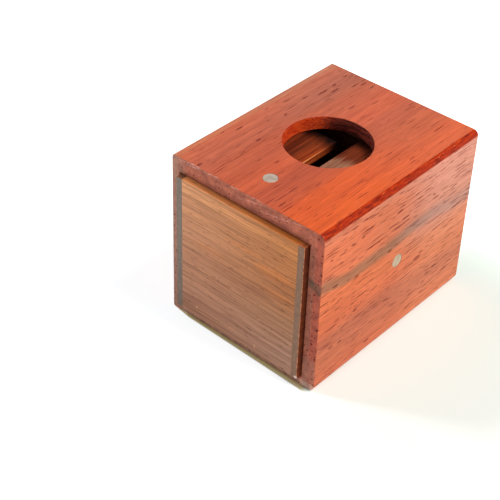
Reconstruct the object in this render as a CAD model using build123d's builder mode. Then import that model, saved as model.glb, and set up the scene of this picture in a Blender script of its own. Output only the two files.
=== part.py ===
import os
from build123d import *

os.makedirs("parts", exist_ok=True)

# All sizes are in mm. X runs across the box, Y runs from the front to the back, Z is up.
# The origin is the centre of the face that the box stands on.

# Sleeve: the outer box, open at the front
width = 41.0
length = 51.8
height = 41.2
left_t = 2.1
right_t = 3.35
top_t = 3.1
bottom_t = 2.35
back_t = 3.1
strip_t = 0.55
strip_l = 3.0
top_round = 1.3
top_round_left = 0.9
bottom_round = 1.9
bottom_round_left = 0.4
end_ease = 0.2

front_y = -length / 2
back_y = length / 2
inner_left = left_t - width / 2
inner_right = width / 2 - right_t
inner_w = inner_right - inner_left
inner_mid = (inner_left + inner_right) / 2
inner_top = height - top_t
mouth_top = inner_top - strip_t

# Finger hole and steel pins
finger_r = 9.72
rim_ease = 0.12
pin_r = 1.6
pin_hole_r = pin_r + 0.02
pin_ease = 0.12
top_pin_y = -18.4
side_pin_z = height / 2
side_pin_reach = 1.1

# Drawer: at rest its front stands this far out of the sleeve
proud = 1.3
travel = 18.0
side_gap = 0.35
drawer_gap = 0.1
board_t = 3.1
thin_t = 1.65
tray_left = inner_left + side_gap + thin_t
tray_right = inner_right - side_gap - thin_t
tray_w = tray_right - tray_left
tray_mid = (tray_left + tray_right) / 2
drawer_bottom = bottom_t + drawer_gap
drawer_front_top = mouth_top - 0.35
wall_top = 34.4
drawer_front_y = front_y - proud
drawer_back_y = 20.8
drawer_ease = 0.12
groove_depth = 0.9
groove_clear = 0.1

# Slotted plate under the top, its two runners and the cross rail
plate_t = 1.6
plate_top = inner_top - 0.15
plate_bottom = plate_top - plate_t
plate_gap = 0.15
slot_half = 1.65
plate_left_w = -inner_left - plate_gap - slot_half
plate_right_w = inner_right - plate_gap - slot_half
plate_front_y = -22.4
plate_back_y = 18.4
left_board_back_y = 5.3
board_ease = 0.2
bridge_front_y = top_pin_y + pin_r + 0.1
bridge_l = 3.2
cross_half = 5.0
cross_l = 7.0
runner_t = 1.7
runner_top = plate_bottom - 0.05
runner_bottom = runner_top - runner_t
runner_w = 1.6
runner_front_y = -22.6
rail_w = 5.0

# Lock ball: it stands raised in the rail at rest, clear of the drawer
ball_r = 1.5
ball_y = 15.9
ball_z = runner_bottom - 0.05 + ball_r
ball_bore_r = ball_r + 0.08
ramp_roof = ball_z + ball_r + 0.17
ramp_slope = 0.375
ramp_half = ball_r + 0.15


# Sleeve top, with the finger hole and the hole for the top pin
with BuildPart() as sleeve_top:
    with BuildSketch(Plane.XY.offset(inner_top)):
        Rectangle(width, length)
        Circle(finger_r, mode=Mode.SUBTRACT)
        with Locations((0, top_pin_y)):
            Circle(pin_hole_r, mode=Mode.SUBTRACT)
    extrude(amount=top_t)
    top_face = sleeve_top.faces().sort_by(Axis.Z)[-1]
    rim = top_face.edges().filter_by(GeomType.CIRCLE).sort_by(SortBy.RADIUS)[-1]
    fillet(rim, rim_ease)
    long_edges = sleeve_top.edges().filter_by(Axis.Y).group_by(Axis.Z)[-1].sort_by(Axis.X)
    fillet(long_edges[-1], top_round)
    long_edges = sleeve_top.edges().filter_by(Axis.Y).group_by(Axis.Z)[-1].sort_by(Axis.X)
    fillet(long_edges[0], top_round_left)
    end_faces = sleeve_top.faces().filter_by(Axis.Y)
    outer = end_faces.edges().filter_by(lambda e: e.center().Z > inner_top + 0.01)
    fillet(outer, end_ease)
sleeve_top.part.label = "sleeve_top"
export_step(sleeve_top.part, "parts/sleeve_top.step")

# Thin strip glued under the top at the open end, which hides the plate's end above the drawer
with BuildPart() as front_strip:
    with BuildSketch(Plane.XY.offset(mouth_top)):
        with Locations((inner_mid, front_y + strip_l / 2)):
            Rectangle(inner_w, strip_l)
    extrude(amount=strip_t)
front_strip.part.label = "front_strip"
export_step(front_strip.part, "parts/front_strip.step")

# Sleeve bottom, the board that the box stands on
with BuildPart() as sleeve_bottom:
    with BuildSketch(Plane.XY):
        Rectangle(width, length)
    extrude(amount=bottom_t)
    long_edges = sleeve_bottom.edges().filter_by(Axis.Y).group_by(Axis.Z)[0].sort_by(Axis.X)
    fillet(long_edges[-1], bottom_round)
    long_edges = sleeve_bottom.edges().filter_by(Axis.Y).group_by(Axis.Z)[0].sort_by(Axis.X)
    fillet(long_edges[0], bottom_round_left)
    end_faces = sleeve_bottom.faces().filter_by(Axis.Y)
    outer = end_faces.edges().filter_by(lambda e: e.center().Z < bottom_t - 0.01)
    fillet(outer, end_ease)
sleeve_bottom.part.label = "sleeve_bottom"
export_step(sleeve_bottom.part, "parts/sleeve_bottom.step")

# Sleeve sides, glued between the top and the bottom
for side, name, wall in ((-1, "sleeve_left", left_t), (1, "sleeve_right", right_t)):
    with BuildPart() as sleeve_side:
        with BuildSketch(Plane.XY.offset(bottom_t)):
            with Locations((side * (width - wall) / 2, 0)):
                Rectangle(wall, length)
        extrude(amount=inner_top - bottom_t)
        with BuildSketch(Plane.YZ):
            with Locations((0, side_pin_z)):
                Circle(pin_hole_r)
        extrude(amount=side * width, mode=Mode.SUBTRACT)
        upright = sleeve_side.edges().filter_by(Axis.Z)
        outer = upright.filter_by(lambda e: abs(e.center().X) > width / 2 - 0.01)
        fillet(outer, end_ease)
    sleeve_side.part.label = name
    export_step(sleeve_side.part, "parts/" + name + ".step")

# Sleeve back, let in between the four boards
with BuildPart() as sleeve_back:
    with BuildSketch(Plane.XY.offset(bottom_t)):
        with Locations((inner_mid, back_y - back_t / 2)):
            Rectangle(inner_w, back_t)
    extrude(amount=inner_top - bottom_t)
sleeve_back.part.label = "sleeve_back"
export_step(sleeve_back.part, "parts/sleeve_back.step")

# Top pin, flush outside; its lower end stands in the plate's slot
with BuildPart() as top_pin:
    with BuildSketch(Plane.XY.offset(plate_bottom + 0.1)):
        with Locations((0, top_pin_y)):
            Circle(pin_r)
    extrude(amount=height - plate_bottom - 0.1)
    fillet(top_pin.faces().sort_by(Axis.Z)[-1].edges(), pin_ease)
top_pin.part.label = "top_pin"
export_step(top_pin.part, "parts/top_pin.step")

# Side pins, flush outside; their inner ends ride in the drawer's grooves
for side, name, wall in ((-1, "left_pin", left_t), (1, "right_pin", right_t)):
    with BuildPart() as side_pin:
        with BuildSketch(Plane.YZ.offset(side * (width / 2 - wall - side_pin_reach))):
            with Locations((0, side_pin_z)):
                Circle(pin_r)
        extrude(amount=side * (wall + side_pin_reach))
        ends = side_pin.faces().filter_by(Axis.X)
        outer = ends.filter_by(lambda f: abs(f.center().X) > width / 2 - 0.01)
        fillet(outer.edges(), pin_ease)
    side_pin.part.label = name
    export_step(side_pin.part, "parts/" + name + ".step")

# Runners, glued inside the sleeve's sides to carry the plate
runner_l = back_y - back_t - runner_front_y
for side, name, wall in ((-1, "runner_left", left_t), (1, "runner_right", right_t)):
    with BuildPart() as runner:
        with BuildSketch(Plane.XY.offset(runner_bottom)):
            with Locations((side * (width - 2 * wall - runner_w) / 2, runner_front_y + runner_l / 2)):
                Rectangle(runner_w, runner_l)
        extrude(amount=runner_t)
    runner.part.label = name
    export_step(runner.part, "parts/" + name + ".step")

# Cross rail between the runners, bored for the lock ball
with BuildPart() as lock_rail:
    with BuildSketch(Plane.XY.offset(runner_bottom)):
        with Locations((inner_mid, ball_y)):
            Rectangle(inner_w - 2 * runner_w, rail_w)
        with Locations((0, ball_y)):
            Circle(ball_bore_r, mode=Mode.SUBTRACT)
    extrude(amount=runner_t)
lock_rail.part.label = "lock_rail"
export_step(lock_rail.part, "parts/lock_rail.step")

# Lock ball
with BuildPart() as lock_ball:
    with BuildSketch(Plane((0, ball_y, ball_z), x_dir=(1, 0, 0), z_dir=(0, -1, 0))):
        with BuildLine():
            CenterArc((0, 0), ball_r, -90, 180)
            Line((0, ball_r), (0, -ball_r))
        make_face()
    revolve(axis=Axis((0, ball_y, ball_z), (0, 0, 1)))
lock_ball.part.label = "lock_ball"
export_step(lock_ball.part, "parts/lock_ball.step")

# Left plate board, which ends under the finger hole
with BuildPart() as plate_left:
    with BuildSketch(Plane.XY.offset(plate_bottom)):
        with Locations((-slot_half - plate_left_w / 2, (plate_front_y + left_board_back_y) / 2)):
            Rectangle(plate_left_w, left_board_back_y - plate_front_y)
    extrude(amount=plate_t)
    top_edges = plate_left.edges().group_by(Axis.Z)[-1]
    slot_edge = top_edges.filter_by(Axis.Y).sort_by(Axis.X)[-1]
    end_edge = top_edges.filter_by(Axis.X).sort_by(Axis.Y)[-1]
    fillet((slot_edge, end_edge), board_ease)
plate_left.part.label = "plate_left"
export_step(plate_left.part, "parts/plate_left.step")

# Right plate board, on the other side of the slot, which runs on to the cross piece
with BuildPart() as plate_right:
    with BuildSketch(Plane.XY.offset(plate_bottom)):
        with Locations((slot_half + plate_right_w / 2, (plate_front_y + plate_back_y) / 2)):
            Rectangle(plate_right_w, plate_back_y - plate_front_y)
        with Locations((0, plate_back_y - cross_l / 2)):
            Rectangle(2 * cross_half, cross_l, mode=Mode.SUBTRACT)
    extrude(amount=plate_t)
    slot_edge = plate_right.edges().filter_by(Axis.Y).group_by(Axis.Z)[-1].sort_by(Axis.X)[0]
    fillet(slot_edge, board_ease)
plate_right.part.label = "plate_right"
export_step(plate_right.part, "parts/plate_right.step")

# Front bridge of the plate, which stops against the top pin
with BuildPart() as plate_bridge:
    with BuildSketch(Plane.XY.offset(plate_bottom)):
        with Locations((0, bridge_front_y + bridge_l / 2)):
            Rectangle(2 * slot_half, bridge_l)
    extrude(amount=plate_t)
plate_bridge.part.label = "plate_bridge"
export_step(plate_bridge.part, "parts/plate_bridge.step")

# Rear cross piece, let into the right plate board, with the ramp that presses the ball down
with BuildPart() as plate_cross:
    with BuildSketch(Plane.XY.offset(plate_bottom)):
        with Locations((0, plate_back_y - cross_l / 2)):
            Rectangle(2 * cross_half, cross_l)
    extrude(amount=plate_t)
    with BuildSketch(Plane.YZ):
        with BuildLine():
            Polyline(
                (ball_y + ramp_half, plate_bottom - 0.5),
                (ball_y + ramp_half, ramp_roof),
                (ball_y, ramp_roof),
                (ball_y - (ramp_roof - plate_bottom + 0.5) / ramp_slope, plate_bottom - 0.5),
                close=True,
            )
        make_face()
    extrude(amount=ramp_half, both=True, mode=Mode.SUBTRACT)
plate_cross.part.label = "plate_cross"
export_step(plate_cross.part, "parts/plate_cross.step")

# Drawer front, held between the ends of the two drawer sides
with BuildPart() as drawer_front:
    with BuildSketch(Plane.XY.offset(drawer_bottom)):
        with Locations((tray_mid, drawer_front_y + board_t / 2)):
            Rectangle(tray_w, board_t)
    extrude(amount=drawer_front_top - drawer_bottom)
    fillet(drawer_front.edges().filter_by(Axis.X).group_by(Axis.Y)[0], drawer_ease)
drawer_front.part.label = "drawer_front"
export_step(drawer_front.part, "parts/drawer_front.step")

# Drawer sides, tall at the front and lower behind it, grooved for the side pins
for side, name, tray_x in ((-1, "drawer_left", tray_left), (1, "drawer_right", tray_right)):
    with BuildPart() as drawer_side:
        with BuildSketch(Plane.YZ.offset(tray_x)):
            with BuildLine():
                Polyline(
                    (drawer_front_y, drawer_bottom),
                    (drawer_back_y, drawer_bottom),
                    (drawer_back_y, wall_top),
                    (drawer_front_y + board_t, wall_top),
                    (drawer_front_y + board_t, drawer_front_top),
                    (drawer_front_y, drawer_front_top),
                    close=True,
                )
            make_face()
        extrude(amount=side * thin_t)
        with BuildSketch(Plane.YZ.offset(tray_x + side * (thin_t - groove_depth))):
            with Locations(((travel - proud) / 2, side_pin_z)):
                SlotCenterToCenter(travel + proud, 2 * (pin_r + groove_clear))
        extrude(amount=side * 2, mode=Mode.SUBTRACT)
        front_edges = drawer_side.edges().group_by(Axis.Y)[0]
        fillet(front_edges.filter_by(Axis.X), drawer_ease)
        upright = drawer_side.edges().filter_by(Axis.Z).group_by(Axis.Y)[0]
        fillet(upright.filter_by(lambda e: abs(e.center().X - tray_x) > thin_t - 0.01), drawer_ease)
    drawer_side.part.label = name
    export_step(drawer_side.part, "parts/" + name + ".step")

# Drawer back; the lock ball drops in front of it
with BuildPart() as drawer_back:
    with BuildSketch(Plane.XY.offset(drawer_bottom)):
        with Locations((tray_mid, drawer_back_y - board_t / 2)):
            Rectangle(tray_w, board_t)
    extrude(amount=wall_top - drawer_bottom)
drawer_back.part.label = "drawer_back"
export_step(drawer_back.part, "parts/drawer_back.step")

# Drawer floor
with BuildPart() as drawer_floor:
    floor_front = drawer_front_y + board_t
    floor_back = drawer_back_y - board_t
    with BuildSketch(Plane.XY.offset(drawer_bottom)):
        with Locations((tray_mid, (floor_front + floor_back) / 2)):
            Rectangle(tray_w, floor_back - floor_front)
    extrude(amount=thin_t)
drawer_floor.part.label = "drawer_floor"
export_step(drawer_floor.part, "parts/drawer_floor.step")
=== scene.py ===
import math

import bpy
from mathutils import Matrix, Vector

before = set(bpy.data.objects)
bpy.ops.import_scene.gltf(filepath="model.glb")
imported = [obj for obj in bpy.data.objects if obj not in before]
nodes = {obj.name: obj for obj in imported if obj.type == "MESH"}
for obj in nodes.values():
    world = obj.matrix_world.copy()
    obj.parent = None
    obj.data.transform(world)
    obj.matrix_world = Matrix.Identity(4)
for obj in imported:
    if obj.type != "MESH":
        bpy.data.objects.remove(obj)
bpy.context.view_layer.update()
scene = bpy.context.scene
scene.view_settings.view_transform = "Standard"

# The sleeve in mm, in the CAD frame: X across, Y from front to back, Z up
HALF_WIDTH = 20.5
FRONT = -25.9
HEIGHT = 41.2
HOLE_RADIUS = 9.72
TOP_BOARD_FROM = 38.0

# Directions of the grain
ALONG_X = 0
ALONG_Y = 1

# Depths of the bump in metres
PADAUK_DEPTH = 0.00006
WALNUT_DEPTH = 0.00005
STEEL_DEPTH = 0.00002
BALL_DEPTH = 0.000004


# Colours and materials. Lengths inside the materials are in mm, in the CAD frame.

def shade(red, green, blue):
    """A colour written as 0 to 255 display values, as the linear colour that Blender takes."""
    values = [c / 255 for c in (red, green, blue)]
    linear = [c / 12.92 if c < 0.04 else ((c + 0.055) / 1.055) ** 2.4 for c in values]
    return (*linear, 1.0)


class Graph:
    """One material, with short calls that add nodes to it and return their output sockets."""

    def __init__(self, name, specular=0.5):
        self.material = bpy.data.materials.new(name)
        self.material.use_nodes = True
        self.tree = self.material.node_tree
        self.shader = self.tree.nodes["Principled BSDF"]
        self.shader.inputs["Specular IOR Level"].default_value = specular
        coordinate = self.tree.nodes.new("ShaderNodeTexCoord")
        mm_per_metre = (1000, 1000, 1000)
        self.place = self.vector("MULTIPLY", coordinate.outputs["Object"], mm_per_metre)
        self.x, self.y, self.z = self.split(self.place)
        self.nx, self.ny, self.nz = self.split(coordinate.outputs["Normal"])

    def put(self, socket, value):
        """Links a socket to another one, or sets its value. None leaves it as it is."""
        if isinstance(value, bpy.types.NodeSocket):
            self.tree.links.new(value, socket)
        elif value is not None:
            socket.default_value = value

    def math(self, operation, a, b=None):
        node = self.tree.nodes.new("ShaderNodeMath")
        node.operation = operation
        self.put(node.inputs[0], a)
        self.put(node.inputs[1], b)
        return node.outputs[0]

    def add(self, a, b):
        return self.math("ADD", a, b)

    def sub(self, a, b):
        return self.math("SUBTRACT", a, b)

    def mul(self, a, b):
        return self.math("MULTIPLY", a, b)

    def absolute(self, a):
        return self.math("ABSOLUTE", a)

    def vector(self, operation, a, b):
        node = self.tree.nodes.new("ShaderNodeVectorMath")
        node.operation = operation
        self.put(node.inputs[0], a)
        self.put(node.inputs[1], b)
        return node.outputs[0]

    def split(self, vector):
        node = self.tree.nodes.new("ShaderNodeSeparateXYZ")
        self.put(node.inputs[0], vector)
        return node.outputs[0], node.outputs[1], node.outputs[2]

    def join(self, x, y, z):
        node = self.tree.nodes.new("ShaderNodeCombineXYZ")
        for socket, value in zip(node.inputs, (x, y, z)):
            self.put(socket, value)
        return node.outputs[0]

    def noise(self, vector, stretch, detail=2.0, roughness=0.5, shift=0.0):
        """Noise from 0 to 1. Stretch gives how many of its bumps fit in a mm along each axis."""
        node = self.tree.nodes.new("ShaderNodeTexNoise")
        moved = self.vector("ADD", vector, (shift, shift * 1.7, shift * 0.6))
        self.put(node.inputs["Vector"], self.vector("MULTIPLY", moved, stretch))
        node.inputs["Scale"].default_value = 1.0
        node.inputs["Detail"].default_value = detail
        node.inputs["Roughness"].default_value = roughness
        return node.outputs[0]

    def cells(self, vector, size):
        """Distance to the nearest of a field of scattered points, in cells of this size in mm."""
        node = self.tree.nodes.new("ShaderNodeTexVoronoi")
        inverse = tuple(1 / s for s in size)
        self.put(node.inputs["Vector"], self.vector("MULTIPLY", vector, inverse))
        node.inputs["Scale"].default_value = 1.0
        return node.outputs["Distance"]

    def dashes(self, across, run, width, length, reach, present, shift):
        """Ragged dashes along run, at most one in each cell of this width and length in mm.
        Reach is their mean half size in cells, present the share of cells that have one."""
        ragged = self.noise(self.join(across, run, 0.0), (1.2, 0.30, 1.0), 2.0, 0.6, shift)
        level = self.add(across, self.mul(self.sub(ragged, 0.5), 0.30))
        plane = self.join(self.mul(self.add(level, shift), 1 / width),
                          self.mul(self.add(run, shift * 2.3), 1 / length), 0.0)
        node = self.tree.nodes.new("ShaderNodeTexVoronoi")
        node.voronoi_dimensions = "2D"
        self.put(node.inputs["Vector"], plane)
        node.inputs["Scale"].default_value = 1.0
        parts = self.tree.nodes.new("ShaderNodeSeparateColor")
        self.put(parts.inputs[0], node.outputs["Color"])
        chance, size, depth = parts.outputs[0], parts.outputs[1], parts.outputs[2]
        half = self.mul(self.add(size, 0.5), reach)
        shape = self.ramp(self.sub(node.outputs["Distance"], half), -0.05, 0.015, 1.0, 0.0)
        kept = self.math("LESS_THAN", chance, present)
        return self.mul(self.mul(shape, kept), self.add(0.55, self.mul(depth, 0.45)))

    def ramp(self, value, low, high, first=0.0, last=1.0):
        """A smooth step: first below low, last above high."""
        node = self.tree.nodes.new("ShaderNodeMapRange")
        node.interpolation_type = "SMOOTHSTEP"
        for socket, number in zip(node.inputs, (value, low, high, first, last)):
            self.put(socket, number)
        return node.outputs[0]

    def band(self, value, centre, half, soft):
        """1 within half of the centre, falling smoothly to 0 over soft."""
        away = self.absolute(self.sub(value, centre))
        return self.ramp(self.sub(away, half), 0.0, soft, 1.0, 0.0)

    def stops(self, value, low, high, *colours):
        """A colour that runs through the given (position, colour) stops between low and high."""
        node = self.tree.nodes.new("ShaderNodeValToRGB")
        node.color_ramp.interpolation = "EASE"
        span = self.ramp_linear(value, low, high)
        self.put(node.inputs[0], span)
        elements = node.color_ramp.elements
        while len(elements) < len(colours):
            elements.new(1.0)
        for element, (position, colour) in zip(elements, colours):
            element.position = (position - low) / (high - low)
            element.color = colour
        return node.outputs[0]

    def mix_number(self, factor, a, b):
        """The number a where factor is 0, b where it is 1."""
        return self.add(self.mul(a, self.sub(1.0, factor)), self.mul(b, factor))

    def strokes(self, along, across, lean, places):
        """Soft, slightly ragged spots, each (along, across, half length, half width, strength).
        Lean is how far they drop in each mm along."""
        ragged = self.noise(self.place, (1.1, 1.1, 1.1), 2.0, 0.6, 60.0)
        level = self.add(across, self.mul(along, lean))
        level = self.add(level, self.mul(self.sub(ragged, 0.5), 0.5))
        plane = self.join(along, level, 0.0)
        total = None
        for run, place, half_length, half_width, strength in places:
            away = self.vector("SUBTRACT", plane, (run, place + lean * run, 0.0))
            away = self.vector("MULTIPLY", away, (1 / half_length, 1 / half_width, 0.0))
            node = self.tree.nodes.new("ShaderNodeVectorMath")
            node.operation = "LENGTH"
            self.put(node.inputs[0], away)
            spot = self.ramp(node.outputs["Value"], 0.55, 1.25, strength, 0.0)
            total = spot if total is None else self.math("MAXIMUM", total, spot)
        return total

    def ramp_linear(self, value, low, high):
        """A straight slope, from 0 at low to 1 at high."""
        node = self.tree.nodes.new("ShaderNodeMapRange")
        for socket, number in zip(node.inputs, (value, low, high)):
            self.put(socket, number)
        return node.outputs[0]

    def mix(self, factor, a, b, blend="MIX"):
        """The colour a where factor is 0, b where it is 1."""
        node = self.tree.nodes.new("ShaderNodeMix")
        node.data_type = "RGBA"
        node.blend_type = blend
        self.put(node.inputs[0], factor)
        self.put(node.inputs[6], a)
        self.put(node.inputs[7], b)
        return node.outputs[2]

    def tint(self, colour, factor, multiplier):
        """Multiplies a colour by the multiplier, as far as factor says."""
        return self.mix(factor, colour, (*multiplier, 1.0), "MULTIPLY")

    def finish(self, colour, roughness, height, depth):
        """Sets the colour, roughness and bump. Height is in parts of depth, which is in metres."""
        self.put(self.shader.inputs["Base Color"], colour)
        self.put(self.shader.inputs["Roughness"], roughness)
        bump = self.tree.nodes.new("ShaderNodeBump")
        bump.inputs["Strength"].default_value = 1.0
        bump.inputs["Distance"].default_value = depth
        self.put(bump.inputs["Height"], height)
        self.put(self.shader.inputs["Normal"], bump.outputs[0])
        return self.material


def grain_space(g, axis, seed, wave=1.6):
    """Coordinates across, along and up from the grain, which wanders by wave in mm."""
    run = (g.x, g.y, g.z)[axis]
    rest = [(g.x, g.y, g.z)[i] for i in range(3) if i != axis]
    wander = g.noise(g.place, (0.09, 0.09, 0.09), 1.0, shift=seed)
    bend = g.mul(g.sub(wander, 0.5), wave)
    up = g.add(rest[1], bend)
    across = g.add(rest[0], g.mul(bend, 0.5))
    return g.vector("ADD", g.join(across, run, up), (seed * 13.1, seed * 7.7, seed * 5.3))


def end_dots(g, size, keep, shift):
    """Cut pores on end grain: small dots, many of them left out."""
    points = g.cells(g.vector("ADD", g.place, (shift, shift, shift)), (size, size, size))
    gate = g.noise(g.place, (0.9 / size, 0.9 / size, 0.9 / size), 0.0, 0.5, shift)
    return g.mul(g.ramp(points, 0.13, 0.23, 1.0, 0.0), g.ramp(gate, keep, keep + 0.06))


def padauk_top_tone(g, broad):
    """Bands of the top board by X, different at its front and back, with a painted sheen along its
    left edge.
    """
    drift = g.add(g.x, g.mul(g.sub(broad, 0.5), 4.0))
    front = g.stops(drift, -HALF_WIDTH, HALF_WIDTH,
                    (-19, shade(203, 102, 68)), (-13, shade(191, 96, 66)),
                    (-8, shade(194, 91, 57)), (-1, shade(204, 92, 54)), (4, shade(187, 82, 50)),
                    (8, shade(197, 86, 48)), (11, shade(223, 93, 38)), (18, shade(229, 96, 36)))
    back = g.stops(drift, -HALF_WIDTH, HALF_WIDTH,
                   (-19, shade(199, 108, 78)), (-14, shade(183, 100, 74)),
                   (-11.5, shade(182, 99, 72)), (-8, shade(195, 97, 65)), (-1, shade(212, 100, 64)),
                   (4, shade(198, 97, 64)), (9, shade(201, 97, 60)), (17, shade(223, 103, 58)))
    colour = g.mix(g.ramp(g.y, -10.0, 14.0), front, back)
    # Paler and greyer along the left edge: a painted sheen.
    return g.tint(colour, g.ramp(g.x, -18.1, -19.2), (1.0, 1.36, 1.42))


def padauk_side_tone(g, broad):
    """Bands of the sides by Z, paler and pinker to the back, partly the wood's tone and partly a
    painted sheen, with one grey-brown streak.
    """
    drift = g.add(g.z, g.mul(g.sub(broad, 0.5), 2.0))
    # Paler and pinker to the back and near the top: partly the wood's tone, partly a painted sheen.
    front = g.stops(drift, 0.0, HEIGHT, (2, shade(218, 112, 66)), (7, shade(208, 112, 70)),
                    (12, shade(202, 108, 70)), (17, shade(226, 114, 64)), (23, shade(236, 122, 66)),
                    (31, shade(234, 124, 76)), (36, shade(240, 128, 78)), (40, shade(230, 132, 92)))
    back = g.stops(drift, 0.0, HEIGHT, (3, shade(226, 128, 80)), (10, shade(214, 124, 84)),
                   (15, shade(230, 134, 86)), (20, shade(234, 142, 98)), (26, shade(222, 150, 122)),
                   (32, shade(230, 154, 126)), (40, shade(240, 162, 136)))
    colour = g.mix(g.ramp(g.y, -6.0, 16.0), front, back)
    middle = g.mul(g.band(g.y, 0.0, 6.0, 8.0), g.ramp(g.z, 18.5, 20.5))
    colour = g.tint(colour, 1.0, (1.05, 1.04, 1.04))
    colour = g.tint(colour, middle, (0.92, 0.96, 0.98))
    low = g.add(24.5, g.ramp(g.y, -26.0, -17.0, 1.9, 0.0))
    rise = g.mul(g.band(g.y, 8.0, 3.0, 10.0), 0.8)
    low = g.add(low, g.sub(rise, g.ramp(g.y, 12.0, 20.0, 0.0, 0.8)))
    soft = g.noise(g.place, (0.9, 0.16, 0.9), 3.0, 0.6, 44.0)
    wavy = g.sub(g.add(g.z, g.mul(g.sub(soft, 0.5), 1.4)), low)
    streak = g.mul(g.ramp(wavy, -0.5, 1.0), g.ramp(wavy, 2.0, 4.6, 1.0, 0.0))
    streak = g.mul(streak, g.ramp(g.y, -4.0, 20.0, 1.0, 0.42))
    return g.tint(colour, streak, (0.54, 0.82, 1.08))


# Cut pores that stand out on the sleeve, each (along Y, across, half length, half width,
# strength). Across is X on the top and Z on the right face, whose front ones lean.
TOP_MARKS = (
    (-17.6, -9.7, 3.2, 0.15, 0.7), (-22.0, -9.9, 2.4, 0.15, 0.6), (14.5, -13.4, 1.9, 0.26, 1.0),
    (17.0, -12.0, 1.5, 0.26, 1.0), (18.6, -13.6, 0.8, 0.26, 1.0), (21.8, -10.2, 1.3, 0.22, 0.9),
    (23.6, -9.1, 1.2, 0.28, 0.8), (23.5, -14.3, 0.7, 0.26, 0.8), (10.0, -14.8, 1.2, 0.22, 0.8),
    (-9.3, -16.8, 1.2, 0.26, 1.0), (-9.8, -11.0, 0.8, 0.28, 1.0), (1.7, -13.3, 0.6, 0.24, 0.9),
    (0.6, -17.8, 0.9, 0.20, 0.6), (14.0, -4.9, 1.4, 0.26, 0.8), (-13.2, -2.8, 0.8, 0.24, 0.8),
    (-18.4, 6.0, 1.7, 0.18, 0.8), (-22.4, 6.0, 2.2, 0.17, 0.7), (-23.6, 7.6, 1.3, 0.24, 0.9),
    (22.5, 4.3, 1.6, 0.22, 0.6), (7.5, 16.3, 1.1, 0.2, 0.6), (-25.0, -13.5, 0.9, 0.40, 0.9),
    (25.2, -12.4, 0.7, 0.24, 0.8), (-13.0, -18.3, 0.7, 0.22, 0.8), (-15.2, 0.3, 1.1, 0.16, 0.6))
FRONT_MARKS = (
    (-19.3, 38.5, 1.3, 0.16, 0.8), (-16.4, 38.3, 1.5, 0.16, 0.8), (-12.0, 38.35, 2.3, 0.20, 1.0),
    (-6.6, 38.3, 1.6, 0.14, 0.6), (0.7, 38.3, 1.3, 0.13, 0.5), (-24.1, 38.7, 0.8, 0.16, 0.5),
    (-11.4, 35.3, 1.8, 0.24, 1.0), (-13.2, 34.2, 0.6, 0.24, 0.9), (-16.4, 34.1, 0.8, 0.26, 0.8),
    (-18.9, 34.1, 0.6, 0.20, 0.7), (-23.2, 34.0, 0.5, 0.24, 0.8), (-20.0, 31.5, 0.9, 0.22, 0.7),
    (-23.5, 29.4, 0.8, 0.20, 0.8), (-21.3, 26.4, 1.1, 0.22, 1.0), (-14.3, 24.9, 0.8, 0.22, 0.9),
    (-16.5, 28.5, 0.9, 0.20, 0.7), (-23.9, 21.2, 0.9, 0.18, 0.7))
REST_MARKS = (
    (-8.4, 30.0, 3.6, 0.17, 1.0), (0.0, 30.1, 4.0, 0.16, 0.9), (-15.8, 30.0, 1.3, 0.15, 0.6),
    (-2.8, 31.45, 1.9, 0.20, 0.9), (1.4, 31.3, 1.5, 0.24, 1.0), (-0.9, 34.15, 1.1, 0.26, 1.0),
    (6.0, 35.6, 5.0, 0.14, 0.6), (8.5, 34.7, 1.6, 0.18, 0.8), (6.0, 33.9, 1.0, 0.18, 0.8),
    (11.2, 32.1, 0.6, 0.22, 0.8), (12.0, 30.9, 1.5, 0.22, 0.8), (18.9, 30.4, 1.3, 0.20, 0.7),
    (21.2, 38.8, 3.4, 0.14, 0.6), (8.9, 37.5, 0.9, 0.18, 0.7), (21.0, 33.8, 2.4, 0.14, 0.7),
    (23.2, 31.5, 1.9, 0.18, 0.7), (21.2, 24.3, 2.4, 0.26, 0.8), (13.0, 24.8, 3.2, 0.16, 0.7),
    (-3.3, 25.1, 0.8, 0.20, 0.9), (7.6, 17.0, 1.4, 0.60, 0.7), (8.9, 18.0, 0.9, 0.24, 0.8),
    (4.3, 22.9, 2.0, 0.16, 0.6), (15.4, 22.0, 3.8, 0.15, 0.7), (6.6, 20.9, 4.0, 0.14, 0.6),
    (-12.0, 18.6, 2.3, 0.17, 0.8), (-7.6, 17.6, 1.6, 0.18, 0.8), (-2.4, 17.5, 2.2, 0.13, 0.6),
    (-13.8, 15.4, 0.8, 0.26, 0.9), (-17.4, 15.9, 0.8, 0.20, 0.8), (-16.8, 13.2, 1.5, 0.16, 0.8),
    (-12.6, 13.1, 1.8, 0.17, 0.8), (-2.8, 11.4, 1.1, 0.24, 0.8), (-8.4, 3.4, 1.1, 0.22, 1.0),
    (-18.2, 9.4, 0.7, 0.26, 0.9), (14.9, 10.6, 1.1, 0.20, 0.8), (7.4, 7.4, 2.0, 0.16, 0.7),
    (21.2, 8.4, 1.5, 0.20, 0.7), (6.6, 4.3, 2.6, 0.14, 0.7), (-20.3, 3.2, 2.0, 0.13, 0.7))


def padauk_marks(g, top, flat):
    """Where the marks of the tables above are, on the top board or on the other boards."""
    def own(marks):
        return [mark for mark in marks if (mark[1] > TOP_BOARD_FROM) == top]

    top_marks = 0.0
    if top:
        top_marks = g.mul(g.strokes(g.y, g.x, 0.0, TOP_MARKS), g.ramp(g.nz, 0.5, 0.7))
    front_marks = g.strokes(g.y, g.z, 0.06, own(FRONT_MARKS))
    rest_marks = g.strokes(g.y, g.z, -0.02, own(REST_MARKS))
    on_right = g.ramp(g.nx, 0.5, 0.7)
    side_marks = g.mul(g.math("MAXIMUM", front_marks, rest_marks), on_right)
    return g.mix_number(flat, side_marks, top_marks)


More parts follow.
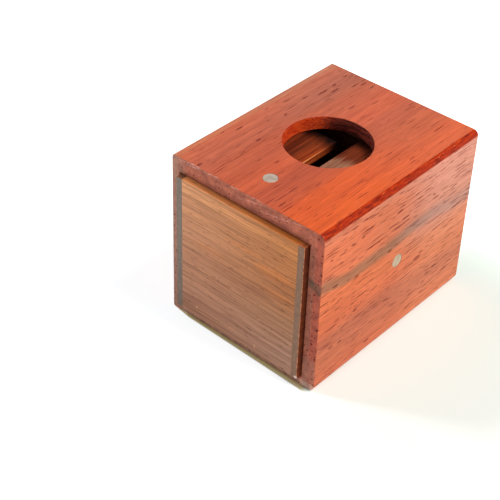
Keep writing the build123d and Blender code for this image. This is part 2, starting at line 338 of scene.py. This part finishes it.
def padauk_end_grain(g, top, grit):
    """Browner, softly mottled end grain, with cut pores as dark red dots. Gives both."""
    mottle = g.noise(g.place, (0.45, 0.45, 0.45), 4.0, 0.7, 1.0)
    # Paler and greyer towards the left: a painted sheen.
    side = g.ramp_linear(g.x, -HALF_WIDTH, -16.0)
    end_light = g.mix(side, shade(182, 138, 118), shade(204, 116, 88))
    end_dark = g.mix(side, shade(166, 124, 106), shade(166, 92, 72))
    end_colour = g.mix(g.ramp(mottle, 0.36, 0.64), end_light, end_dark)
    torn_edge = g.add(g.x, g.mul(g.sub(mottle, 0.5), 1.2))
    outer = g.mul(g.ramp(torn_edge, 18.3, 18.9), g.ramp(g.z, 7.0, 11.0, 0.55, 1.0))
    outer = g.mul(outer, g.ramp(g.z, 24.0, 27.0, 1.0, 0.8))
    end_colour = g.tint(end_colour, outer, (0.87, 0.62, 0.58))
    if top:
        end_colour = g.tint(end_colour, g.ramp(g.z, 39.6, 40.6), (0.90, 0.88, 0.86))
    else:
        # Beside: painted shadow of the proud drawer on the frame next to it.
        beside = g.mul(g.band(g.x, 17.7, 0.6, 0.5), g.ramp(g.z, 9.0, 13.0, 0.15, 1.0))
        beside = g.mul(beside, g.ramp(g.z, 37.5, 36.0))
        low = g.mul(g.ramp(g.z, 7.0, 10.0, 1.0, 0.0), g.ramp(g.x, 16.8, 17.6))
        end_colour = g.tint(end_colour, low, (0.86, 1.12, 1.22))
        end_colour = g.tint(end_colour, beside, (0.70, 0.78, 0.80))
        # Paler and greyer on the strip under the drawer: painted light in the shade there.
        under = g.mul(g.ramp(g.z, 1.2, 2.2, 1.0, 0.0), g.ramp(g.x, -18.4, -17.0))
        end_colour = g.tint(end_colour, under, (1.38, 2.4, 3.0))
    # Painted shade on the frame just above the drawer.
    above = g.mul(g.ramp(g.z, 39.3, 37.5), g.band(g.x, -0.6, 17.0, 0.8))
    end_colour = g.tint(end_colour, above, (0.60, 0.62, 0.60))
    end_colour = g.tint(end_colour, g.ramp(grit, 0.42, 0.70, 0.0, 0.4), (0.78, 0.72, 0.72))
    end_colour = g.tint(end_colour, g.ramp(grit, 0.28, 0.44, 0.35, 0.0), (1.14, 1.16, 1.16))
    dots = g.math("MAXIMUM", end_dots(g, 1.15, 0.44, 2.0), end_dots(g, 0.85, 0.50, 11.0))
    dots = g.math("MAXIMUM", dots, g.mul(end_dots(g, 1.7, 0.44, 23.0), g.ramp(g.x, 17.0, 18.6)))
    end_colour = g.tint(end_colour, g.mul(dots, 0.95), (0.34, 0.10, 0.10))
    if not top:
        patch = g.strokes(g.x, g.z, 0.2, ((18.9, 28.0, 2.2, 1.3, 1.0),
                                          (19.8, 27.6, 1.5, 1.5, 1.0)))
        end_colour = g.tint(end_colour, g.mul(patch, 0.95), (0.46, 0.74, 0.76))
    return end_colour, dots


def padauk_round_edge(g, colour, end):
    """The rounded long edge on the right of the top is deep red, with painted glints. Gives the
    colour and where.
    """
    turn = g.mul(g.math("MAXIMUM", g.nx, 0.0), g.math("MAXIMUM", g.nz, 0.0))
    mixed = g.noise(g.place, (2.4, 0.36, 2.4), 5.0, 0.75, 14.0)
    deep = g.stops(mixed, 0.0, 1.0, (0.32, shade(216, 74, 6)), (0.47, shade(178, 42, 0)),
                   (0.62, shade(116, 20, 0)))
    round_edge = g.mul(g.ramp(turn, 0.04, 0.16), g.sub(1.0, end))
    colour = g.mix(g.mul(round_edge, 0.96), colour, deep)
    # Painted glints: small highlights on the rounded edge.
    glints = g.ramp(g.cells(g.place, (0.8, 1.5, 0.8)), 0.08, 0.16, 1.0, 0.0)
    some = g.ramp(g.noise(g.place, (0.5, 0.2, 0.5), 1.0, 0.5, 83.0), 0.50, 0.56)
    glints = g.mul(glints, some)
    colour = g.mix(g.mul(g.mul(glints, round_edge), 0.6), colour, shade(238, 150, 110))
    return colour, round_edge


def padauk_chips_and_glints(g, colour):
    """Small whitish marks along the top's front edge and on the end grain under it, partly chips
    and scratches and partly painted glints and highlights where the eased edge catches the light.
    """
    crumbs = g.ramp(g.noise(g.place, (1.9, 1.9, 3.2), 2.0, 0.6, 5.0), 0.46, 0.54)
    chips_and_glints = g.strokes(g.x, g.z, -0.04, (
        (-14.6, 40.95, 2.2, 0.26, 1.0), (-17.4, 40.7, 1.2, 0.2, 0.7), (-9.4, 41.0, 2.4, 0.20, 0.8),
        (-3.6, 41.0, 1.8, 0.18, 0.8), (2.0, 41.05, 2.6, 0.12, 0.6)))
    scratches_and_highlights = g.strokes(g.x, g.z, -0.19, (
        (2.0, 40.05, 4.6, 0.15, 0.9), (10.4, 40.05, 5.4, 0.15, 0.9),
        (-14.4, 40.6, 2.4, 0.14, 0.8), (5.6, 39.2, 2.8, 0.12, 0.5)))
    at_front = g.ramp(g.y, FRONT + 0.18, FRONT + 0.30, 1.0, 0.0)
    # Chips, scratches and painted glints in one mask.
    whitish_marks = g.mul(g.mul(g.math("MAXIMUM", chips_and_glints, scratches_and_highlights), crumbs), at_front)
    return g.mix(g.mul(whitish_marks, 0.58), colour, shade(238, 190, 176))


def padauk_hole_wall(g, colour):
    """The wall of the finger hole: orange side grain, dark end grain with purple-red lines.
    Gives the colour and where."""
    radius = g.math("POWER", g.add(g.mul(g.x, g.x), g.mul(g.y, g.y)), 0.5)
    inside = g.ramp(radius, HOLE_RADIUS + 0.04, HOLE_RADIUS + 0.12, 1.0, 0.0)
    wall = g.mul(inside, g.ramp(g.absolute(g.nz), 0.2, 0.7, 1.0, 0.0))
    torn = g.noise(g.place, (2.0, 0.5, 2.2), 3.0, 0.65, 17.0)
    flecks = g.noise(g.place, (2.4, 2.4, 3.2), 2.0, 0.6, 23.0)
    rings = g.noise(g.place, (0.35, 0.35, 3.4), 3.0, 0.65, 51.0)
    side_grain = g.mix(g.ramp(torn, 0.38, 0.64), shade(244, 88, 30), shade(206, 56, 16))
    end_grain = g.mix(g.ramp(rings, 0.42, 0.58), shade(146, 62, 44), shade(82, 26, 18))
    end_grain = g.mix(g.mul(g.ramp(flecks, 0.58, 0.66), 0.5), end_grain, shade(176, 66, 66))
    turning = g.add(g.absolute(g.ny), g.mul(g.sub(flecks, 0.5), 0.55))
    # Darker towards the right of the hole: painted shade.
    turning = g.add(turning, g.ramp(g.x, 0.0, 5.0, 0.0, 0.2))
    torn_fibres = g.mul(g.band(turning, 0.66, 0.16, 0.10), g.ramp(flecks, 0.52, 0.60, 1.0, 0.0))
    points = g.cells(g.place, (0.7, 0.7, 0.5))
    torn_fibres = g.mul(torn_fibres, g.ramp(points, 0.16, 0.30, 1.0, 0.0))
    side_grain = g.mix(g.mul(torn_fibres, 0.6), side_grain, shade(246, 160, 140))
    inner = g.mix(g.ramp(turning, 0.66, 0.88), side_grain, end_grain)
    return g.mix(wall, colour, inner), wall


def padauk(name, top):
    """Red padauk with its grain along Y. Top is True for the top board, whose marks, hole and front
    edge the other boards leave out. All else is the same in both, so that no joint shows."""
    g = Graph(name, 0.26)
    grain = grain_space(g, ALONG_Y, 1.0)
    flat = g.ramp(g.absolute(g.nz), 0.55, 0.80)
    broad = g.noise(grain, (0.30, 0.018, 0.30), 2.0, 0.55, 3.0)
    streak = g.noise(grain, (0.9, 0.022, 0.9), 3.0, 0.65, 9.0)
    fibre = g.noise(grain, (3.4, 0.07, 3.4), 3.0, 0.65, 21.0)
    cloud = g.noise(grain, (0.55, 0.12, 0.55), 3.0, 0.6, 31.0)
    colour = g.mix(flat, padauk_side_tone(g, broad), padauk_top_tone(g, broad))
    lines = g.mix_number(flat, 0.35, 0.60)
    colour = g.tint(colour, g.ramp(cloud, 0.42, 0.72, 0.0, 0.45), (0.88, 0.82, 0.82))
    colour = g.tint(colour, g.mul(g.ramp(streak, 0.42, 0.70), lines), (0.80, 0.70, 0.70))
    colour = g.tint(colour, g.mul(g.ramp(streak, 0.28, 0.46, 1.0, 0.0), lines), (1.10, 1.06, 1.0))
    colour = g.tint(colour, g.ramp(fibre, 0.42, 0.68, 0.0, 0.95), (0.80, 0.71, 0.68))
    colour = g.tint(colour, g.ramp(fibre, 0.30, 0.46, 0.9, 0.0), (1.14, 1.14, 1.11))

    # Cut pores: those that stand out are placed one by one, the rest scattered
    placed = padauk_marks(g, top, flat)
    across = g.add(g.x, g.z)
    crowd = g.ramp(g.noise(grain, (0.22, 0.05, 0.22), 2.0, 0.5, 71.0), 0.34, 0.62, 0.40, 0.95)
    share = g.mul(crowd, g.mix_number(flat, 1.0, 0.26))
    long_pores = g.dashes(across, g.y, 0.85, 14.0, 0.115, share, 3.0)
    short_pores = g.dashes(across, g.y, 0.62, 6.5, 0.125, share, 31.0)
    hairs = g.dashes(across, g.y, 0.9, 34.0, 0.075, g.mul(share, 1.3), 57.0)
    large = g.math("MAXIMUM", placed, g.math("MAXIMUM", long_pores, short_pores))
    colour = g.tint(colour, g.mul(hairs, 0.75), (0.52, 0.31, 0.27))
    colour = g.tint(colour, g.mul(large, g.sub(1.0, g.mul(flat, 0.15))), (0.34, 0.13, 0.11))

    end = g.ramp(g.absolute(g.ny), 0.45, 0.90)
    grit = g.noise(g.place, (2.4, 2.4, 1.2), 2.0, 0.6, 4.0)
    end_colour, dots = padauk_end_grain(g, top, grit)
    colour = g.mix(end, colour, end_colour)

    pits = g.mul(large, g.sub(1.0, end))
    both = g.add(pits, g.mul(end, dots))
    rough = g.add(g.ramp(fibre, 0.3, 0.7, 0.38, 0.50), g.mul(both, 0.2))
    rough = g.add(rough, g.mul(end, 0.12))
    height = g.sub(g.mul(g.mix_number(end, fibre, grit), 0.25), both)
    if top:
        colour, round_edge = padauk_round_edge(g, colour, end)
        colour = padauk_chips_and_glints(g, colour)
        colour, wall = padauk_hole_wall(g, colour)
        rough = g.add(rough, g.mul(g.math("MAXIMUM", wall, round_edge), 0.22))
        specular = g.mix_number(round_edge, 0.26, 0.13)
        g.put(g.shader.inputs["Specular IOR Level"], specular)
    return g.finish(colour, rough, height, PADAUK_DEPTH)


def walnut(name, axis, seed, light, dark, end_light, end_dark, gloss=0.42, specular=0.3,
           thin=0.0):
    """Brown walnut with its grain along an axis. Gloss is its mean roughness, thin the strength
    of its narrow dark and light lines. Gives the graph, colour, roughness and height."""
    g = Graph(name, specular)
    grain = grain_space(g, axis, seed, 0.6)
    broad = g.noise(grain, (0.22, 0.015, 0.22), 2.0, 0.55, 3.0)
    streak = g.noise(grain, (0.9, 0.020, 0.9), 3.0, 0.65, 9.0)
    fibre = g.noise(grain, (3.4, 0.07, 3.4), 3.0, 0.65, 21.0)
    colour = g.mix(g.ramp(g.add(g.mul(broad, 0.35), g.mul(streak, 0.65)), 0.36, 0.64), light, dark)
    colour = g.tint(colour, g.ramp(fibre, 0.42, 0.66, 0.0, 0.9), (0.74, 0.70, 0.68))
    colour = g.tint(colour, g.ramp(fibre, 0.30, 0.46, 0.8, 0.0), (1.18, 1.18, 1.18))
    if thin:
        line = g.noise(grain, (1.9, 0.028, 1.9), 3.0, 0.6, 33.0)
        colour = g.tint(colour, g.ramp(line, 0.52, 0.62, 0.0, thin), (0.60, 0.52, 0.48))
        colour = g.tint(colour, g.ramp(line, 0.36, 0.46, thin, 0.0), (1.14, 1.12, 1.08))
    run = (g.x, g.y)[axis]
    level = g.add(g.y, g.z) if axis == ALONG_X else g.add(g.x, g.z)
    pores = g.math("MAXIMUM", g.dashes(level, run, 0.75, 5.0, 0.12, 0.42, seed + 3.0),
                   g.dashes(level, run, 0.55, 2.6, 0.12, 0.35, seed + 41.0))
    colour = g.tint(colour, g.mul(pores, 0.9), (0.52, 0.42, 0.38))
    end = g.ramp(g.absolute((g.nx, g.ny)[axis]), 0.6, 0.92)
    mottle = g.noise(g.place, (1.3, 1.3, 1.3), 3.0, 0.65, seed)
    grit = g.noise(g.place, (5.0, 5.0, 5.0), 2.0, 0.6, seed + 3.0)
    end_colour = g.mix(g.ramp(mottle, 0.35, 0.65), end_light, end_dark)
    end_colour = g.tint(end_colour, g.ramp(grit, 0.42, 0.70, 0.0, 0.5), (0.80, 0.80, 0.80))
    end_colour = g.tint(end_colour, g.ramp(grit, 0.28, 0.44, 0.4, 0.0), (1.18, 1.18, 1.18))
    colour = g.mix(end, colour, end_colour)
    rough = g.add(g.ramp(fibre, 0.3, 0.7, gloss - 0.05, gloss + 0.06), g.mul(pores, 0.15))
    height = g.sub(g.mul(g.mix_number(end, fibre, grit), 0.25), g.mul(pores, g.sub(1.0, end)))
    return g, colour, rough, height


def walnut_front():
    """The drawer's front: lighter at the top and darker, pinker at the bottom, partly painted
    shade, more orange at the right, with a painted sheen at the upper left, a top face painted
    lighter and an underside painted darker.
    """
    g, colour, rough, height = walnut(
        "walnut_front", ALONG_X, 2.0, shade(217, 153, 112), shade(190, 130, 95),
        shade(150, 108, 84), shade(124, 88, 70), thin=0.42)
    # Darker and pinker towards the bottom, lighter towards the top: partly painted shade.
    drift = g.add(g.z, g.mul(g.x, 0.03))
    shift = g.stops(drift, 3.0, 38.0,
                    (5, (0.81, 0.84, 0.95, 1.0)), (9, (0.82, 0.84, 0.95, 1.0)),
                    (14, (0.92, 0.93, 0.97, 1.0)), (19, (0.86, 0.83, 0.84, 1.0)),
                    (24, (0.98, 0.97, 0.94, 1.0)), (31, (1.14, 1.13, 1.02, 1.0)),
                    (36, (1.18, 1.18, 1.02, 1.0)))
    colour = g.mix(1.0, colour, shift, "MULTIPLY")
    warm = g.mul(g.ramp_linear(g.x, -14.0, 15.0), g.ramp_linear(g.z, 6.0, 22.0))
    colour = g.tint(colour, warm, (0.84, 0.68, 0.38))
    lower_right = g.mul(g.ramp_linear(g.x, -8.0, 14.0), g.ramp(g.z, 16.0, 22.0, 1.0, 0.0))
    colour = g.tint(colour, lower_right, (0.86, 0.97, 1.08))
    # Lighter at the upper left: a painted sheen.
    upper_left = g.mul(g.ramp_linear(g.x, 6.0, -12.0), g.ramp(g.z, 16.0, 24.0))
    colour = g.tint(colour, upper_left, (1.12, 1.13, 1.12))
    lines = g.strokes(g.x, g.z, -0.01, (
        (-12.0, 15.9, 4.6, 0.22, 0.5), (-4.5, 16.1, 2.6, 0.22, 0.7), (6.5, 15.6, 8.5, 0.20, 0.7),
        (5.0, 19.4, 4.6, 0.9, 0.45), (-11.0, 31.3, 5.0, 0.2, 0.35), (8.0, 31.2, 5.0, 0.22, 0.35),
        (9.5, 30.6, 1.1, 0.16, 0.8), (3.6, 26.9, 0.9, 0.2, 0.8), (5.2, 24.6, 2.0, 0.18, 0.7),
        (-12.6, 34.7, 1.4, 0.16, 0.6), (-9.6, 26.8, 0.8, 0.15, 0.6),
        (-2.6, 8.4, 1.2, 0.5, 0.4), (-14.0, 19.0, 3.0, 0.4, 0.4), (9.0, 10.6, 5.0, 0.35, 0.4),
        (11.0, 18.4, 3.6, 0.4, 0.4), (3.4, 27.2, 3.0, 0.14, 0.5), (12.0, 24.6, 2.0, 0.2, 0.6)))
    colour = g.tint(colour, lines, (0.62, 0.54, 0.50))
    specks = g.strokes(g.x, g.z, 0.0, ((-12.0, 5.1, 0.34, 0.28, 1.0), (4.9, 4.3, 0.24, 0.6, 0.7),
                                       (-3.6, 33.4, 0.3, 0.2, 0.5), (5.6, 12.1, 0.25, 0.2, 0.5)))
    colour = g.mix(g.mul(specks, 0.7), colour, shade(226, 176, 140))
    glow = g.strokes(g.x, g.z, -0.04, ((9.0, 26.4, 5.5, 1.6, 0.8), (1.5, 28.8, 5.0, 0.8, 0.5),
                                       (10.5, 21.6, 4.0, 0.9, 0.6), (-9.0, 23.0, 5.0, 0.9, 0.5)))
    colour = g.tint(colour, glow, (1.20, 1.05, 0.78))
    # The top face painted lighter and more orange: painted light.
    colour = g.tint(colour, g.ramp(g.nz, 0.5, 0.9), (1.40, 1.24, 0.98))
    # The underside painted darker: painted shade.
    colour = g.tint(colour, g.ramp(g.nz, -0.9, -0.5, 1.0, 0.0), (0.66, 0.60, 0.56))
    return g.finish(colour, rough, height, WALNUT_DEPTH)


def walnut_drawer_sides():
    """The drawer's sides: dark brown, end grain in front, an orange painted highlight on the right
    edge and a painted white highlight at the lower front corner on the right.
    """
    g, colour, rough, height = walnut(
        "walnut_sides", ALONG_Y, 6.0, shade(146, 76, 43), shade(120, 57, 33),
        shade(139, 122, 109), shade(122, 109, 98))
    right = g.ramp(g.x, -1.0, 1.0)
    end = g.ramp(g.absolute(g.ny), 0.6, 0.92)
    colour = g.tint(colour, g.mul(end, right), (1.15, 0.80, 0.60))
    # The orange right edge: a painted highlight.
    corner = g.ramp(g.mul(g.math("MAXIMUM", g.nx, 0.0), g.absolute(g.ny)), 0.10, 0.35)
    broken = g.noise(g.place, (1.3, 1.3, 1.1), 3.0, 0.7, 2.0)
    edge_highlight = g.mix(g.ramp(broken, 0.4, 0.6), shade(238, 146, 84), shade(170, 84, 42))
    edge_highlight_share = g.ramp(broken, 0.60, 0.50, 0.15, 0.95)
    colour = g.mix(g.mul(g.mul(corner, right), edge_highlight_share), colour, edge_highlight)
    # A painted white highlight at the lower front corner.
    corner_highlight = g.strokes(g.x, g.z, 0.0, ((16.5, 2.8, 0.45, 0.4, 1.0),))
    colour = g.mix(g.mul(corner_highlight, g.ramp(g.y, -27.1, -26.9, 0.9, 0.0)), colour, shade(244, 214, 200))
    ends = g.mix(right, (1.6, 3.2, 4.2, 1.0), (2.6, 3.2, 2.8, 1.0))
    colour = g.mix(g.ramp(g.nz, 0.5, 0.9), colour, g.mix(1.0, colour, ends, "MULTIPLY"))
    return g.finish(colour, rough, height, WALNUT_DEPTH)


def walnut_plate():
    """The slotted plate: red-brown, painted almost black behind as shade. Its left board has a
    painted sheen, lighter and more orange along the slot, and a painted highlight on the slot's
    edge; its right board a painted fawn sheen in front."""
    g, colour, rough, height = walnut(
        "walnut_plate", ALONG_Y, 8.0, shade(126, 54, 26), shade(86, 32, 15),
        shade(70, 36, 22), shade(52, 26, 17), gloss=0.55, specular=0.06)
    on_left = g.ramp(g.x, -0.5, 0.5, 1.0, 0.0)
    # A painted sheen: lighter and more orange along the slot, towards the front.
    by_slot = g.mul(g.ramp(g.x, -5.6, -2.0), on_left)
    colour = g.tint(colour, g.mul(by_slot, g.ramp(g.y, -4.0, 3.5, 1.0, 0.2)), (2.4, 2.1, 1.2))
    # Painted shade: the left board goes almost black towards the back.
    cloud = g.noise(g.place, (0.5, 0.25, 0.5), 2.0, 0.5, 91.0)
    cloudy = g.add(g.y, g.mul(g.sub(cloud, 0.5), 3.0))
    colour = g.tint(colour, g.mul(on_left, g.ramp(cloudy, 1.0, 5.0)), (0.02, 0.02, 0.02))
    # A painted highlight along the slot's rounded edge.
    sideways = g.absolute(g.nx)
    along_slot = g.mul(g.ramp(sideways, 0.15, 0.45), g.ramp(sideways, 0.80, 0.97, 1.0, 0.0))
    along_slot = g.mul(along_slot, g.mul(on_left, g.ramp(g.y, -6.0, 2.6, 0.95, 0.0)))
    colour = g.mix(along_slot, colour, shade(238, 166, 104))
    slot_wall = g.mul(g.ramp(sideways, 0.9, 0.98), g.band(g.z, 36.9, 0.10, 0.15))
    slot_wall = g.mul(slot_wall, g.mul(on_left, g.ramp(g.y, -6.0, 2.6, 0.7, 0.0)))
    colour = g.mix(slot_wall, colour, shade(196, 116, 60))
    on_right = g.sub(1.0, on_left)
    # A painted sheen: the right board fawn in front.
    torn = g.noise(g.place, (1.4, 0.12, 1.4), 2.0, 0.6, 37.0)
    front = g.add(g.y, g.mul(g.sub(torn, 0.5), 5.0))
    pale = g.mul(on_right, g.ramp(front, -1.0, 2.4, 1.0, 0.0))
    fawn = g.mix(g.ramp(rough, 0.50, 0.60), shade(166, 118, 92), shade(140, 93, 70))
    colour = g.mix(g.mul(pale, 0.88), colour, fawn)
    # Painted shade: the right board almost black at the back, under the hole's rim.
    far = g.mul(on_right, g.ramp(g.sub(g.y, g.mul(g.x, 0.25)), 4.5, 7.5))
    colour = g.tint(colour, far, (0.12, 0.10, 0.10))
    return g.finish(colour, rough, height, WALNUT_DEPTH)


def plain_walnut(name, axis, seed, light, dark):
    end_light, end_dark = shade(150, 118, 98), shade(124, 94, 78)
    g, colour, rough, height = walnut(name, axis, seed, light, dark, end_light, end_dark)
    return g.finish(colour, rough, height, WALNUT_DEPTH)


def sanded_steel(name, upright, light, dark):
    """Steel sanded flush with the wood: fine scratches across the end of an upright pin or of
    one that lies across the box."""
    g = Graph(name, 0.5)
    g.shader.inputs["Metallic"].default_value = 0.85
    stretch = (14.0, 2.0, 14.0) if upright else (14.0, 2.5, 9.0)
    scratch = g.noise(g.place, stretch, 3.0, 0.7)
    cloud = g.noise(g.place, (0.9, 0.9, 0.9), 2.0, 0.5, 4.0)
    colour = g.mix(g.ramp(cloud, 0.35, 0.65), light, dark)
    colour = g.tint(colour, g.ramp(scratch, 0.5, 0.8, 0.0, 0.5), (0.85, 0.85, 0.84))
    rough = g.ramp(scratch, 0.3, 0.7, 0.45, 0.62)
    return g.finish(colour, rough, scratch, STEEL_DEPTH)


def polished_ball():
    g = Graph("ball_steel", 0.5)
    g.shader.inputs["Metallic"].default_value = 1.0
    smear = g.noise(g.place, (1.2, 1.2, 1.2), 3.0, 0.6)
    colour = g.mix(smear, shade(196, 196, 198), shade(214, 214, 214))
    return g.finish(colour, g.ramp(smear, 0.3, 0.7, 0.10, 0.22), smear, BALL_DEPTH)


def dress(material, *names):
    for name in names:
        slots = nodes[name].data.materials
        slots.clear()
        slots.append(material)


back = plain_walnut("walnut_back", ALONG_X, 5.0, shade(184, 126, 90), shade(156, 102, 72))
tray = plain_walnut("walnut_tray", ALONG_X, 7.0, shade(176, 118, 82), shade(148, 94, 64))
strip = plain_walnut("walnut_strip", ALONG_Y, 9.0, shade(140, 72, 44), shade(110, 54, 34))
cross = plain_walnut("walnut_cross", ALONG_X, 10.0, shade(168, 106, 70), shade(136, 82, 54))
top_steel = sanded_steel("steel_top", True, shade(194, 178, 162), shade(176, 160, 146))
side_steel = sanded_steel("steel_side", False, shade(214, 196, 170), shade(198, 180, 154))
dress(padauk("padauk_top", True), "sleeve_top", "front_strip")
dress(padauk("padauk_sides", False), "sleeve_bottom", "sleeve_left", "sleeve_right")
dress(back, "sleeve_back")
dress(walnut_front(), "drawer_front")
dress(walnut_drawer_sides(), "drawer_left", "drawer_right")
dress(tray, "drawer_back", "drawer_floor")
dress(walnut_plate(), "plate_left", "plate_right")
dress(strip, "runner_left", "runner_right")
dress(cross, "plate_bridge", "plate_cross", "lock_rail")
dress(top_steel, "top_pin")
dress(side_steel, "left_pin", "right_pin")
dress(polished_ball(), "lock_ball")


# Floor and surroundings

def white_floor():
    """A white floor that keeps its shadow. What the camera sees of it is lifted towards white,
    except the narrow olive line under the drawer's front, a painted contact shadow, and the cream
    floor on the right, a painted warm light from the box."""
    mesh = bpy.data.meshes.new("floor")
    half = 3.0  # metres
    corners = [(-half, -half, 0.0), (half, -half, 0.0), (half, half, 0.0), (-half, half, 0.0)]
    mesh.from_pydata(corners, [], [(0, 1, 2, 3)])
    floor = bpy.data.objects.new("floor", mesh)
    scene.collection.objects.link(floor)
    g = Graph("floor", 0.2)
    g.shader.inputs["Roughness"].default_value = 0.9

    # The olive line in front of the box, wider to the right: a painted contact shadow
    width = g.add(g.mul(g.ramp_linear(g.x, -20.3, -15.0), 0.75),
                  g.mul(g.ramp_linear(g.x, -15.0, 18.0), 0.45))
    depth = g.sub(g.sub(FRONT, g.y), width)
    line = g.mul(g.ramp(depth, -0.15, 0.12, 1.0, 0.0), g.ramp(g.y, -20.0, -19.0, 1.0, 0.0))
    line = g.mul(line, g.mul(g.ramp(g.x, 17.4, 19.6, 1.0, 0.0),
                             g.ramp(g.x, -HALF_WIDTH, -20.2)))

    # The cream floor on the right: painted warm light from the box, lifted less and tinted
    behind = g.mul(g.ramp(g.y, 25.0, 26.0), g.ramp(g.x, 6.0, 18.0))
    beside = g.math("MAXIMUM", g.ramp(g.x, 16.8, 18.4), behind)
    warm = g.mul(beside, g.ramp(g.x, 36.0, 80.0, 1.0, 0.0))
    warm = g.mul(warm, g.mul(g.ramp(g.y, -31.0, -23.0), g.ramp(g.y, 26.0, 60.0, 1.0, 0.0)))

    white, olive = (0.88, 0.88, 0.88, 1.0), (0.70, 0.60, 0.40, 1.0)
    g.put(g.shader.inputs["Base Color"], g.mix(line, white, olive))
    path = g.tree.nodes.new("ShaderNodeLightPath")
    lift = g.ramp(g.sub(g.x, g.mul(g.y, 0.6)), 25.0, 48.0, 0.68, 0.16)
    lift = g.mix_number(warm, lift, 0.13)
    seen = g.add(g.mul(path.outputs["Is Camera Ray"], lift),
                 g.mul(path.outputs["Is Glossy Ray"], 0.12))
    light = g.mix(warm, (0.95, 1.0, 1.02, 1.0), (0.4, 1.0, 0.7, 1.0))
    g.put(g.shader.inputs["Emission Color"], g.mix(line, light, (0.12, 0.11, 0.03, 1.0)))
    g.put(g.shader.inputs["Emission Strength"], seen)
    mesh.materials.append(g.material)


def surroundings():
    """Dim even light on the object, white for the camera. Reflections see a bright patch behind
    on the left and dimmer light elsewhere."""
    world = bpy.data.worlds.new("surroundings")
    scene.world = world
    world.use_nodes = True
    tree = world.node_tree

    def node(kind, *values):
        """A new node of this kind, with its first inputs linked or set to the values."""
        made = tree.nodes.new(kind)
        for socket, value in zip(made.inputs, values):
            if isinstance(value, bpy.types.NodeSocket):
                tree.links.new(value, socket)
            else:
                socket.default_value = value
        return made

    coordinate = node("ShaderNodeTexCoord")
    facing = node("ShaderNodeVectorMath", coordinate.outputs["Generated"], (-0.641, 0.687, 0.342))
    facing.operation = "DOT_PRODUCT"
    mirrored = node("ShaderNodeMapRange", facing.outputs["Value"], 0.35, 0.90, 0.35, 1.0)
    path = node("ShaderNodeLightPath")
    glossy = node("ShaderNodeMix", path.outputs["Is Glossy Ray"])
    glossy.inputs[2].default_value = 0.16
    tree.links.new(mirrored.outputs[0], glossy.inputs[3])
    camera = node("ShaderNodeMix", path.outputs["Is Camera Ray"])
    tree.links.new(glossy.outputs[0], camera.inputs[2])
    camera.inputs[3].default_value = 1.0
    background = tree.nodes["Background"]
    background.inputs["Color"].default_value = (1.0, 1.0, 1.0, 1.0)
    tree.links.new(camera.outputs[0], background.inputs["Strength"])


def lamp(name, azimuth, elevation, level, softness, colour=(1.0, 1.0, 1.0)):
    """A distant soft lamp, with its azimuth in degrees from +X towards +Y. Level 1 lights a
    surface that faces it so that white renders white."""
    data = bpy.data.lights.new(name, "SUN")
    data.energy = level * math.pi
    data.angle = math.radians(softness)
    data.color = colour
    lamp_object = bpy.data.objects.new(name, data)
    scene.collection.objects.link(lamp_object)
    a, e = math.radians(azimuth), math.radians(elevation)
    towards = Vector((math.cos(a) * math.cos(e), math.sin(a) * math.cos(e), math.sin(e)))
    lamp_object.rotation_euler = towards.to_track_quat("Z", "Y").to_euler()


white_floor()
surroundings()
lamp("key", 27.0, 56.0, 0.88, 22.0, (1.0, 0.975, 0.94))
lamp("fill", 204.0, 46.0, 0.24, 9.0, (0.94, 0.97, 1.0))
lamp("front", 267.0, 3.0, 0.26, 12.0)


# Camera

def place_camera(azimuth, elevation, roll, target, distance, lens):
    """A camera that looks at the target in metres, from an azimuth in degrees from -Y towards
    +X. Lens is in mm."""
    a, e, r = (math.radians(v) for v in (azimuth, elevation, roll))
    back = Vector((math.sin(a) * math.cos(e), -math.cos(a) * math.cos(e), math.sin(e)))
    right = Vector((0.0, 0.0, 1.0)).cross(back).normalized()
    up = back.cross(right)
    turned_right = math.cos(r) * right + math.sin(r) * up
    turned_up = -math.sin(r) * right + math.cos(r) * up
    data = bpy.data.cameras.new("camera")
    data.lens = lens
    data.sensor_width = 36.0
    data.clip_start = 0.01
    camera = bpy.data.objects.new("camera", data)
    scene.collection.objects.link(camera)
    rotation = Matrix((turned_right, turned_up, back)).transposed().to_4x4()
    camera.matrix_world = Matrix.Translation(Vector(target) + back * distance) @ rotation
    scene.camera = camera


place_camera(40.84, 38.27, 1.95, (0.0, -0.02395, 0.02583), 0.27056, 94.39)
